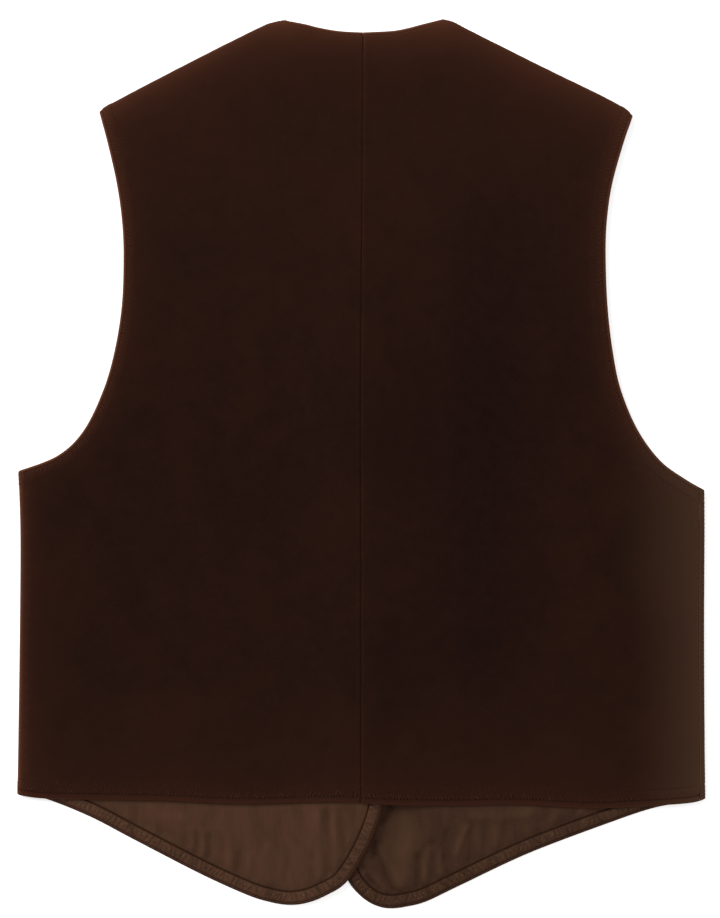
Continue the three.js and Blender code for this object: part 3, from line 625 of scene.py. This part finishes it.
def lining_plan(flat):
    """The front's flat outline moved inwards, split where the band shows below the back's hem."""
    loop = np.vstack([line[:-1] for _, line in flat])
    turning = turning_of(loop)
    closed = np.vstack([loop, loop[:1]])
    moved = []
    for name, line in flat:
        inner = offset(even(line, 0.8), LINING_INSET * turning)
        inner = inner[(nearest(inner, closed)[0] > LINING_INSET - 0.02) & inside(inner, loop)]
        moved.append((name, inner))
    names = [name for name, _ in moved]
    lines = [line for _, line in moved]
    joined = [np.vstack([line, lines[(index + 1) % len(lines)][:1]]) for index, line in enumerate(lines)]
    front = joined[0]
    low = np.flatnonzero(front[:, 1] < BAND_TOP_Y)
    first, last = low[0], low[-1]
    edges = [("neck", "plain", front[:first + 1]), ("band", "band", front[first:last + 1])]
    if last + 1 < len(front):
        edges.append(("corner", "plain", front[last:]))
    edges += [(name, "plain", line) for name, line in zip(names[1:], joined[1:])]
    return edges


# Relief of the outer faces
def ripple(along, seed, lengths=(6.3, 9.7, 15.1)):
    rng = random.Random(seed)
    return sum(np.sin(2 * math.pi * along / (length * rng.uniform(0.85, 1.15)) + rng.uniform(0, 6.28))
               for length in lengths) / len(lengths)


def bump(value, centre, width):
    return np.exp(-((value - centre) / width) ** 2)


# How deep the inner row of stitches sinks on the back, and how far the turned edge fades past it
BACK_SINKS = {"hem": (0.36, 1.1), "armhole": (0.15, 2.2), "neck": (0, 12)}
FRONT_GROOVE = 0.18
HIGHEST_RELIEF = 0.55


def turned_edge(distance, along, seed, rows, inner_groove, fade):
    outer, inner = rows[0], rows[-1] if len(rows) > 1 else 6
    body = 0.42 * smooth(0, 0.9, distance) * (1 - smooth(inner - 0.2, inner + fade, distance))
    grooves = 0.34 * bump(distance, outer, 0.34) + inner_groove * bump(distance, inner, 0.4)
    puff = (0.1 + 0.1 * ripple(along, seed)) * bump(distance, (outer + inner) / 2, 2.4)
    outside = 0.07 * ripple(along, seed + 5, (8, 13, 21)) * bump(distance, inner + 3, 2.6)
    return body - grooves + puff + outside


def seam_roll(distance, along, seed):
    ridge = 0.15 + 0.12 * ripple(along, seed, (4.7, 8.3, 13.9))
    return ridge * bump(distance, 2.2, 0.95) - 0.2 * bump(distance, 0, 0.8)


def back_relief(panel, points):
    seed = 10 if panel.lines["hem"][-1, 0] < 0 else 20
    height = np.zeros(len(points))
    for shift, (name, (groove, fade)) in enumerate(BACK_SINKS.items()):
        distance, along = nearest(points, panel.lines[name])
        height = height + turned_edge(distance, along, seed + shift, BACK_ROWS[name], groove, fade)
    distance, along = nearest(points, panel.lines["centre"])
    height += seam_roll(distance, along, 4)
    height += 0.1 * bump(nearest(points, panel.lines["side"])[0], 2.2, 0.95)
    height += seam_roll(nearest(points, panel.lines["shoulder"])[0], along, 7) * 0.7
    for fold in panel.folds[1:]:
        height *= 1 - smooth(1.5, 4.5, fold.locate(points)[1])
    return np.minimum(height, HIGHEST_RELIEF)


def front_relief(panel, points):
    """Only grooves, because this face lies on the surface below."""
    height = np.zeros(len(points))
    for name in ("front", "armhole"):
        distance = nearest(points, panel.lines[name])[0]
        height -= FRONT_GROOVE * bump(distance, OUTER_ROW, 0.34) + FRONT_GROOVE * bump(distance, INNER_ROW, 0.4)
    return height


class LiningRelief:
    """Puckers of the padded band, short pulls inside it and the folds of the free lining."""

    def __init__(self, edge_line, forms, seed):
        rng = random.Random(seed)
        self.edge_line, self.forms = edge_line, forms
        self.puckers, self.pulls = [], []
        total = length_of(edge_line)
        place = 0.0
        while place < total:
            place += rng.uniform(1.7, 4.4)
            self.puckers.append((place, rng.uniform(0.2, 0.85), rng.uniform(0.45, 0.95), rng.uniform(-0.5, 0.5)))
        place = 0.0
        while place < total:
            place += rng.uniform(3.5, 9)
            self.pulls.append((place, rng.uniform(-0.5, 0.6), rng.uniform(0.9, 1.9), rng.uniform(4, 12),
                               rng.uniform(-0.45, 0.45)))

    def parts(self, points):
        """The puckers, the band's crown, the pulls and the folds, and the distance from the edge."""
        d, s = nearest(points, self.edge_line)
        puff = np.clip((d - OUTER_ROW) / (INNER_ROW - OUTER_ROW), 0, 1)
        crown = np.sqrt(np.clip(np.sin(math.pi * puff), 0, 1))
        pucker = sum(deep * bump(s - slant * (d - 5.8), place, width) for place, deep, width, slant in self.puckers)
        within = smooth(INNER_ROW, INNER_ROW + 1.5, d)
        inwards = d - INNER_ROW
        pull = sum(high * bump(s - slant * inwards, place, width) * np.exp(-np.maximum(0, inwards) / reach)
                   for place, high, width, reach, slant in self.pulls)
        folds = soft_forms(*points.T, self.forms)
        return pucker, crown, within * pull, smooth(INNER_ROW, INNER_ROW + 5, d) * folds, d

    def __call__(self, panel, points):
        x, y = points.T
        shown = (1 - smooth(hem_y(x) + 0.5, hem_y(x) + 9, y)) * (1 - smooth(215, 240, np.abs(x)))
        height = np.zeros(len(points))
        low = shown > 0
        pucker, crown, pull, folds, d = self.parts(points[low])
        rise = BAND_RISE * 0.8 * crown - pucker * crown
        rise = rise - 0.25 * bump(d, OUTER_ROW, 0.35) - 0.4 * bump(d, INNER_ROW, 0.55)
        rise = rise + pull + 0.8 * smooth(INNER_ROW, INNER_ROW + 6, d) + 2.2 * folds
        height[low] = np.clip(rise, -0.45, 2.2) * shown[low]
        return height

    def tones(self, points):
        """Painted shade in the creases and puckers, and painted highlight on the crests and just below the back's
        hem.
        """
        x, y = points.T
        deep, crest, padded = np.zeros((3, len(points)))
        low = y < LINING_TONES_Y
        pucker, crown, pull, folds, d = self.parts(points[low])
        form = folds + 0.5 * pull
        # Painted light just below the back's hem, lightening its shadow; painted shade in creases and puckers,
        # painted highlight on crests
        painted_light_under_hem = 0.22 * np.exp(-np.maximum(0, hem_y(x[low]) - y[low]) / 1.6)
        deep[low] = 0.4 * np.maximum(0, -form) + 0.5 * pucker * crown
        crest[low] = 0.26 * np.maximum(0, form) + 0.3 * np.maximum(0, 0.3 - pucker) * crown + painted_light_under_hem
        padded[low] = crown
        return deep, crest, padded


# Sewing
def thread_row(panel, line, distance, margin):
    """Stitches along a line at a distance inside an edge, clear of its ends by a margin: vertices and faces."""
    base = offset(even(line, 0.4), distance * panel.turning)
    base = base[nearest(base, line)[0] > distance - 0.08]
    count = int((length_of(base) - margin - margin) / STITCH_PITCH)
    centres = margin + STITCH_PITCH * (np.arange(count) + 0.5)
    shares = np.array([-1, -0.6, 0, 0.6, 1])
    widths = np.array([0.1, 0.75, 1, 0.75, 0.1]) * STITCH["radius"]
    sink = np.array([-0.3, -0.05, 0.06, -0.05, -0.3])
    spots = (centres[:, None] + shares[None] * STITCH["half_length"]).ravel()
    place, normal = panel.surface(at(base, spots))
    points, sides = STITCH["points"], STITCH["sides"]
    shown = place[points // 2::points, 2] > STITCH["lowest"]
    count = shown.sum()
    place = place.reshape(-1, points, 3)[shown]
    normal = normal.reshape(-1, points, 3)[shown]
    run = place[:, 4:5] - place[:, 0:1]
    run = run / np.linalg.norm(run, axis=2)[..., None]
    across = np.cross(normal, run)
    angles = np.linspace(0, 2 * math.pi, sides, endpoint=False)
    ring = np.cos(angles)[:, None] * across[:, :, None] + np.sin(angles)[:, None] * normal[:, :, None]
    ring = ring * widths[:, None, None]
    centre = place + normal * sink[:, None]
    vertices = (centre[:, :, None] + ring).reshape(-1, 3)
    faces = []
    for row in range(0, (points - 1) * sides, sides):
        for k in range(sides):
            n = (k + 1) % sides
            faces.append([row + k, row + n, row + sides + n, row + sides + k])
    faces = np.array(faces)
    return vertices, (faces + (np.arange(count) * points * sides)[:, None, None]).reshape(-1, 4)


def sewn(name, rows):
    vertices, faces, base = [], [], 0
    for row_vertices, row_faces in rows:
        vertices.append(row_vertices)
        faces.append(row_faces + base)
        base += len(row_vertices)
    return new_piece(name, np.vstack(vertices), np.vstack(faces).tolist())


# Materials
def linear(*srgb):
    return tuple(((c / 255 + 0.055) / 1.055) ** 2.4 if c > 10 else c / 255 / 12.92 for c in srgb) + (1,)


class Nodes:
    def __init__(self, name):
        self.material = bpy.data.materials.new(name)
        self.material.use_nodes = True
        self.tree = self.material.node_tree
        self.shader = self.tree.nodes["Principled BSDF"]

    def add(self, kind, inputs=None, **settings):
        made = self.tree.nodes.new(kind)
        for key, value in settings.items():
            setattr(made, key, value)
        for key, value in (inputs or {}).items():
            self.set(made.inputs[key], value)
        return made

    def set(self, socket, value):
        if isinstance(value, bpy.types.NodeSocket):
            self.tree.links.new(value, socket)
        else:
            socket.default_value = value

    def settings(self, **values):
        """Gives the shader's sockets a value or a link."""
        for name, value in values.items():
            self.set(self.shader.inputs[name.replace("_", " ")], value)

    def attribute(self, name):
        return self.add("ShaderNodeAttribute", attribute_name=name).outputs["Fac"]

    def noise(self, scale, detail=2.0, rough=0.5):
        place = self.add("ShaderNodeTexCoord").outputs["Object"]
        made = self.add("ShaderNodeTexNoise", {"Vector": place, "Scale": scale, "Detail": detail, "Roughness": rough})
        return made.outputs["Fac"]

    def remap(self, value, low, high, to_low=0, to_high=1):
        inputs = {"Value": value, "From Min": low, "From Max": high, "To Min": to_low, "To Max": to_high}
        return self.add("ShaderNodeMapRange", inputs, interpolation_type="SMOOTHSTEP").outputs["Result"]

    def math(self, operation, a, b=0.0):
        return self.add("ShaderNodeMath", {0: a, 1: b}, operation=operation).outputs[0]

    def mix(self, factor, a, b):
        return self.add("ShaderNodeMix", {0: factor, 6: a, 7: b}, data_type="RGBA").outputs[2]

    def relief(self, height, distance, strength, normal=None):
        inputs = {"Height": height, "Distance": distance, "Strength": strength}
        if normal is not None:
            inputs["Normal"] = normal
        return self.add("ShaderNodeBump", inputs).outputs["Normal"]


def suede_material():
    m = Nodes("suede")
    broad = m.noise(9, 4, 0.6)
    patches = m.noise(42, 4, 0.65)
    nap = m.noise(1300, 2, 0.6)
    streak = m.noise(110, 3, 0.6)
    colour = m.mix(m.remap(broad, 0.35, 0.65), linear(30, 15, 11), linear(35, 17, 12))
    colour = m.mix(m.remap(patches, 0.4, 0.62, 0, 0.45), colour, linear(26, 14, 10))
    colour = m.mix(m.attribute("dark"), colour, linear(24, 12, 10))
    colour = m.mix(m.remap(streak, 0.35, 0.65, 0, 0.24), colour, linear(37, 20, 14))
    # Painted light: the lower right of the back paler and more olive, also in its sheen and rim
    olive = m.attribute("olive")
    colour = m.mix(olive, colour, linear(58, 40, 29))
    # Painted sheen: the paler tone towards the edges, where the suede rolls over
    sheen_tone = m.mix(olive, linear(78, 44, 30), linear(77, 52, 39))
    colour = m.mix(m.attribute("light"), colour, sheen_tone)
    colour = m.mix(m.remap(nap, 0.4, 0.75, 0, 0.1), colour, linear(60, 36, 26))
    # Painted highlight along the rims of the suede
    colour = m.mix(m.attribute("rim"), colour, m.mix(olive, linear(124, 74, 51), linear(112, 82, 63)))

    # Slanted puckers from the outer stitch row inwards, stronger in places: a bump, with painted highlight on their
    # crests and painted shade in their troughs
    off = m.attribute("off")
    place = m.math("ADD", m.attribute("run"), m.math("MULTIPLY", off, 0.5))
    place = m.math("ADD", place, m.math("MULTIPLY", m.noise(190, 2, 0.6), 5.0))
    turns = m.math("MULTIPLY", place, 2 * math.pi / STITCH_PITCH)
    zone = m.math("MULTIPLY", m.remap(off, -0.8, -0.1), m.remap(off, 1.5, 6.5, 1, 0))
    second = m.math("MULTIPLY", m.remap(off, 6.2, 7.4, 0, 0.6), m.remap(off, 7.8, 12, 1, 0))
    zone = m.math("ADD", zone, second)
    zone = m.math("MULTIPLY", zone, m.remap(m.noise(260, 2, 0.7), 0.35, 0.62, 0.1, 1))
    zone = m.math("MULTIPLY", zone, m.attribute("pull"))
    wave = m.math("MULTIPLY", m.math("SINE", turns), zone)
    colour = m.mix(m.remap(wave, 0, 1, 0, 0.24), colour, linear(92, 56, 40))
    colour = m.mix(m.remap(wave, -1, 0, 0.5, 0), colour, linear(16, 8, 5))
    # Painted shade along the stitch rows and seams
    colour = m.mix(m.attribute("row"), colour, linear(15, 7, 4))
    normal = m.relief(wave, 0.0002, 0.5, m.relief(patches, 0.0012, 0.35))
    m.settings(Base_Color=colour, Normal=m.relief(nap, 0.0003, 0.35, normal), Roughness=0.95)
    m.settings(Specular_IOR_Level=0.02, Sheen_Weight=0.03, Sheen_Roughness=0.6, Sheen_Tint=linear(190, 140, 110))
    return m.material


def satin_material(name, light, dark):
    m = Nodes(name)
    place = m.add("ShaderNodeTexCoord").outputs["Object"]

    def stretched(x, y, detail):
        mapped = m.add("ShaderNodeMapping", {"Vector": place, "Scale": (x, y, x)}).outputs["Vector"]
        return m.add("ShaderNodeTexNoise", {"Vector": mapped, "Scale": 1.0, "Detail": detail}).outputs["Fac"]

    streak = stretched(150, 34, 3)
    weave = stretched(900, 3600, 1)
    colour = m.mix(m.remap(streak, 0.3, 0.7), light, dark)
    colour = m.mix(m.remap(weave, 0.35, 0.75, 0, 0.14), colour, linear(105, 76, 60))
    # Painted highlight and shade: light and dark flecks on the padded band for its lit and shaded puckers
    fleck = m.noise(620, 3, 0.75)
    padded = m.attribute("padded")
    for span, tone in (((0.5, 0.72, 0, 0.42), (118, 86, 64)), ((0.28, 0.48, 0.42, 0), (44, 27, 17))):
        colour = m.mix(m.math("MULTIPLY", padded, m.remap(fleck, *span)), colour, linear(*tone))
    # Painted highlight on the crests, painted shade in the creases and puckers and along the stitch rows
    for part, tone in (("crest", (104, 75, 58)), ("deep", (32, 20, 14)), ("row", (26, 12, 4))):
        colour = m.mix(m.attribute(part), colour, linear(*tone))
    normal = m.relief(weave, 0.00012, 0.4, m.relief(streak, 0.0005, 0.5))
    m.settings(Base_Color=colour, Normal=normal, Roughness=0.55, Specular_IOR_Level=0.09)
    m.settings(Specular_Tint=linear(220, 170, 140))
    m.settings(Sheen_Weight=0.03, Sheen_Roughness=0.4, Sheen_Tint=linear(200, 160, 135))
    return m.material


def thread_material(name, light, dark):
    m = Nodes(name)
    colour = m.mix(m.remap(m.noise(700), 0.3, 0.7), dark, light)
    m.settings(Base_Color=colour, Roughness=0.8, Specular_IOR_Level=0.05)
    return m.material


def button_material():
    m = Nodes("button")
    colour = m.mix(m.remap(m.noise(160, 4), 0.35, 0.65), linear(28, 18, 12), linear(46, 30, 21))
    m.settings(Base_Color=colour, Normal=m.relief(m.noise(500), 0.0001, 0.3), Roughness=0.35)
    return m.material


SUEDE = suede_material()
SATIN_LEFT = satin_material("satin_left", linear(71, 47, 35), linear(62, 41, 30))
# The right lining is a darker copy of the same satin: painted shade
SATIN_RIGHT = satin_material("satin_right", linear(59, 39, 28), linear(51, 33, 24))
THREAD = thread_material("thread", linear(52, 31, 23), linear(37, 21, 15))
LINING_THREAD = thread_material("thread_lining", linear(42, 26, 19), linear(30, 18, 13))
BUTTON = button_material()


def finish_piece(piece, material, node):
    piece.data.materials.append(material)
    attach(piece, "root")
    if node:
        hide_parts(node)


def row_shade(distance, rows, outer, inner, width):
    return outer * bump(distance, rows[0], 0.4) + inner * bump(distance, rows[-1], width)


# Painted sheen on the paler, rolled edges of the suede: at the rim, further in, its reach, then the brightest line
# and its width
PAINTED_EDGE_SHEEN = {
    "side": (0.6, 0.4, 7, 0.42, 2.1), "armhole": (0.55, 0.45, 6.4, 0.36, 1.4), "shoulder": (0.3, 0.54, 12, 0.2, 1.6),
    "neck": (0.3, 0.58, 10, 0.26, 1.9), "hem": (0.05, 0.13, 8, 0.045, 3),
}
ROW_SHADES = {"hem": (0.34, 0.2), "front": (0.3, 0.16), "armhole": (0.2, 0.05), "neck": (0.1, 0)}
PULLS = {"hem": 1, "front": 1, "armhole": 0.8, "neck": 0.3}
# Painted highlight at the hem and side edges, lightening the shade of their rolled edges; at the front partly the
# paler cut edge, partly painted highlight
RIMS = {"front": (0.26, 1.6), "hem": (0.2, 0.9), "side": (0.3, 0.5)}
DARK_FORMS = [(-183, -48, -140, -142, 0.5, 9), (-120, 60, -100, -60, 0.3, 16), (15, -125, 17, -205, 0.6, 14),
              (-60, 40, -40, -90, 0.25, 20), (88, 60, 78, -150, 0.25, 12)]


def suede_tones(piece, panel, finished, part):
    points = panel.flat
    x, y = points.T
    dull, off = np.ones(len(points)), np.full(len(points), 99.0)
    rim, row, run, pull = np.zeros((4, len(points)))
    # Painted sheen that pales the suede towards its edges, and a painted highlight line at the rim
    for name, (edge, wide, reach, line, width) in PAINTED_EDGE_SHEEN.items():
        distance = nearest(points, curve(part[name]))[0]
        dull *= 1 - edge * np.exp(-distance / 0.9) - wide * np.exp(-distance / reach)
        line *= 0.55 if name == "armhole" and part is RIGHT else 1
        rim = np.maximum(rim, line * bump(distance, 0, width))
    for name, edge_line in panel.lines.items():
        distance, along = nearest(points, edge_line)
        if name in RIMS:
            line, width = RIMS[name]
            rim = np.maximum(rim, line * bump(distance, 0, width))
        if name in finished:
            row = np.maximum(row, row_shade(distance, BACK_ROWS[name], *ROW_SHADES[name], 0.4))
            past = distance - BACK_ROWS[name][0]
            closer = past < off
            run[closer], off[closer], pull[closer] = along[closer], past[closer], PULLS[name]
        elif name != "side":
            # Centre and shoulder seams: painted shade in the seam gap, painted highlight on the rolled lips beside it
            # and along the edge
            row = np.maximum(row, 0.06 * (1 - smooth(0, 0.5, distance)))
            dull *= 1 - (0.03 + 0.05 * ripple(along, 3, (3.1, 5.3, 8.9))) * bump(distance, 1.9, 0.9)
            ends = smooth(120, 270, y) + smooth(294, 304, y) + 0.8 * smooth(-205, -238, y)
            pale = 0.02 * bump(distance, 0, 0.9) * ends + 0.035 * bump(distance, 0, 0.5)
            rim = np.maximum(rim, pale * (1 + 0.5 * ripple(along, 9, (2.7, 4.9, 11.3))))
    # Painted sheen towards the edges, also lighter towards the top and towards the hem
    light = 1 - dull + 0.065 * smooth(20, 260, y) + 0.02 * smooth(40, -100, y) + 0.07 * smooth(-130, -240, y)
    # Painted light: paler and more olive towards the right side
    olive = smooth(178 + 13 * smooth(-70, -130, y), 259, x)
    band = bump(x, 90 + 0.03 * y, 38) * smooth(265, 130, y) * smooth(-215, -110, y)
    dark = np.clip(band + soft_forms(x, y, DARK_FORMS), 0, 1)
    add_attributes(piece, light=np.clip(light, 0, 1), olive=olive, pull=pull * (1 - 0.5 * olive), dark=dark, run=run,
                   off=off, rim=rim, row=row)


# Mesh grain in the middle of each panel: spacing, and the y it starts and ends at
BACK_GRAIN, FRONT_GRAIN = [(5.0, -400, 400)], [(7.0, -400, 400)]
LINING_GRAIN = [(2.4, -400, LINING_FINE_Y), (8.0, LINING_FINE_Y, 400)]
BACK_EDGES = ("hem", "armhole", "neck")
pieces = {}
for part, side_name, wraps in ((LEFT, "left", True), (RIGHT, "right", False)):
    edges, folds = back_plan(part, wraps)
    panel = Panel(edges, folds, partial(back_floor, part), SUEDE_WALL, 1, BACK_GRAIN, back_relief)
    piece = panel.build(f"back_{side_name}_suede", allowance=wraps)
    suede_tones(piece, panel, BACK_EDGES, part)
    rows = [thread_row(panel, panel.lines[name], place, 1.0) for name in BACK_EDGES for place in BACK_ROWS[name]]
    threads = sewn(f"back_{side_name}_stitches", rows)
    pieces[f"back_{side_name}"] = (panel, piece, threads)

for part, side_name, wraps, floor, forms in ((LEFT, "left", False, left_front_floor, LINING_LEFT_FORMS),
                                             (RIGHT, "right", True, button_ridge, LINING_RIGHT_FORMS)):
    edges, folds, flat = front_plan(part, wraps)
    panel = Panel(edges, folds, floor, SUEDE_WALL, -1, FRONT_GRAIN, front_relief)
    piece = panel.build(f"front_{side_name}_suede")
    suede_tones(piece, panel, ("front", "armhole"), part)
    pieces[f"front_{side_name}"] = (panel, piece, None)

    front_line = flat[0][1]
    lining = Panel(lining_plan(flat), [], lambda x, y, floor=floor: floor(x, y) + SUEDE_WALL + LINING_GAP,
                   LINING_WALL, 1, LINING_GRAIN, LiningRelief(front_line, forms, 31 + part["sign"]))
    piece = lining.build(f"lining_{side_name}_satin")
    distance = nearest(lining.flat, front_line)[0]
    shown = 1 - smooth(LINING_TONES_Y, LINING_TONES_Y + 6, lining.flat[:, 1])
    # Painted shade along the stitch rows of the band
    row = row_shade(distance, (OUTER_ROW, INNER_ROW), 0.6, 0.92, 0.65) * shown
    deep, crest, padded = lining.relief.tones(lining.flat)
    # Painted shadow cast by the left front's edge on the right lining
    if wraps:
        x, y = lining.flat.T
        beside = nearest(lining.flat, curve(LEFT["front_hem"]))[0]
        deep += 0.5 * bump(beside, 4.4, 3.6) * smooth(-292, -278, y) * smooth(-238, -244, y) * (x > 6)
    add_attributes(piece, row=row, deep=np.clip(deep, 0, 0.75), crest=np.clip(crest, 0, 0.6), padded=padded)
    band = lining.lines["band"]
    rows = [thread_row(lining, band, distance - LINING_INSET, 2) for distance in (OUTER_ROW, INNER_ROW)]
    threads = sewn(f"lining_{side_name}_stitches", rows)
    pieces[f"lining_{side_name}"] = (lining, piece, threads)

for node, (panel, piece, threads) in pieces.items():
    cloth, thread, slot = SUEDE, THREAD, "suede"
    if node.startswith("lining"):
        cloth, thread, slot = SATIN_LEFT if node.endswith("left") else SATIN_RIGHT, LINING_THREAD, "lining"
    finish_piece(piece, cloth, node)
    if threads:
        finish_piece(threads, thread, None)

for index in range(5):
    button = bpy.data.objects[f"button_{index + 1}"]
    button.data.materials.clear()
    button.data.materials.append(BUTTON)

# Surface, light and camera, in metres
FLOOR = {"half": 4, "drop": 0.0003, "glow": 0.5}
WORLD_STRENGTH = 0.42
LAMPS = [("key", (-1.9, 1.6, 2.0), 1.5, 88), ("fill", (1.4, 0.2, 2.8), 1.8, 18)]
CAMERA = {"place": (-0.00073, 0.0041, 1.8625), "lens": 100, "sensor": 36, "far": 20}
WHITE = (1, 1, 1, 1)

half = FLOOR["half"]
floor_mesh = bpy.data.meshes.new("floor")
floor_mesh.from_pydata([(-half, -half, 0), (half, -half, 0), (half, half, 0), (-half, half, 0)], [], [(0, 1, 2, 3)])
floor_piece = put("floor", floor_mesh)
floor_piece.location.z = -FLOOR["drop"]
paper = Nodes("floor")
grey = paper.mix(paper.noise(3), (0.93, 0.93, 0.93, 1), (0.95, 0.95, 0.95, 1))
paper.settings(Base_Color=grey, Roughness=0.9, Specular_IOR_Level=0.1)
paper.settings(Emission_Color=WHITE, Emission_Strength=FLOOR["glow"])
floor_piece.data.materials.append(paper.material)

scene = bpy.context.scene
scene.world = bpy.data.worlds.new("studio")
scene.world.use_nodes = True
background = scene.world.node_tree.nodes["Background"].inputs
background["Color"].default_value = WHITE
background["Strength"].default_value = WORLD_STRENGTH

for name, place, size, power in LAMPS:
    data = bpy.data.lights.new(name, "AREA")
    data.shape = "SQUARE"
    data.size = size
    data.energy = power
    lamp = put(name, data)
    lamp.location = place
    lamp.rotation_euler = (-Vector(place)).to_track_quat("-Z", "Y").to_euler()

camera_data = bpy.data.cameras.new("camera")
camera_data.lens = CAMERA["lens"]
camera_data.sensor_width = CAMERA["sensor"]
camera_data.clip_end = CAMERA["far"]
scene.camera = put("camera", camera_data)
scene.camera.location = CAMERA["place"]
scene.view_settings.view_transform = "Standard"
